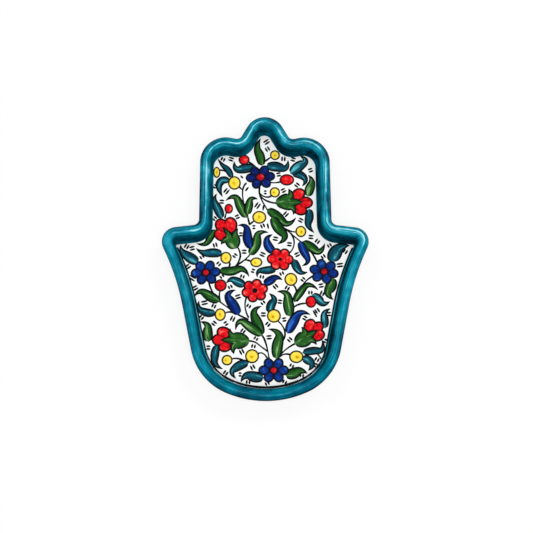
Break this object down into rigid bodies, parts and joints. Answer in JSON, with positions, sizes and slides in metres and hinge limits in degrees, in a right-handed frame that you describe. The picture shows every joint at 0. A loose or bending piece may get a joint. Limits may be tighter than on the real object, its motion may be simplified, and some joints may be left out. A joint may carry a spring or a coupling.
{
  "type": "hamsa hand dish",
  "caption": "Hand-shaped glazed earthenware dish with a turquoise rim and a white floor painted with flowers, leaves and berries; an ornament that also holds small things.",
  "frame": {"origin": "centre of the outline at the level of the foot ring's face, on which the dish rests", "axes": "+Z out of the dish's hollow, +Y from the wrist to the fingertips, +X to the right when the painting is looked at"},
  "size_m": [0.129, 0.1816, 0.02],
  "materials": {
    "bisque": "matt fired clay",
    "turquoise_glaze": "glossy brushed glaze",
    "white_glaze": "glossy glaze",
    "black_line": "glossy underglaze line",
    "green_enamel": "glossy enamel",
    "teal_enamel": "glossy enamel",
    "blue_enamel": "glossy enamel",
    "navy_enamel": "glossy enamel",
    "yellow_enamel": "glossy enamel",
    "red_enamel": "glossy enamel"
  },
  "bodies": {
    "root": {"clay_body": "bisque", "rim_glaze": "turquoise_glaze", "floor_glaze": "white_glaze", "edge_line": "black_line", "dash_marks": "black_line", "stem_lines": "black_line", "leaf_lines": "black_line", "berry_lines": "black_line", "flower_lines": "black_line", "calyx_lines": "black_line", "green_leaves_fingers": "green_enamel", "green_leaves_palm": "green_enamel", "teal_leaves_fingers": "teal_enamel", "teal_leaves_palm": "teal_enamel", "blue_leaves_palm": "blue_enamel", "yellow_berries": "yellow_enamel", "red_berries": "red_enamel", "blue_flower_top": "navy_enamel", "blue_flower_left": "blue_enamel", "blue_flower_right": "blue_enamel", "blue_flower_bottom": "blue_enamel", "blue_flower_eyes": "red_enamel", "red_rosette_upper": "red_enamel", "red_rosette_lower": "red_enamel", "rosette_eyes": "black_line", "carnation_petals_upper_right": "red_enamel", "carnation_petals_upper_left": "red_enamel", "carnation_petals_lower_left": "red_enamel", "carnation_petals_lower_right": "red_enamel", "carnation_calyx_upper_right": "green_enamel", "carnation_calyx_upper_left": "green_enamel", "carnation_calyx_lower_left": "green_enamel", "carnation_calyx_lower_right": "green_enamel"}
  },
  "joints": []
}
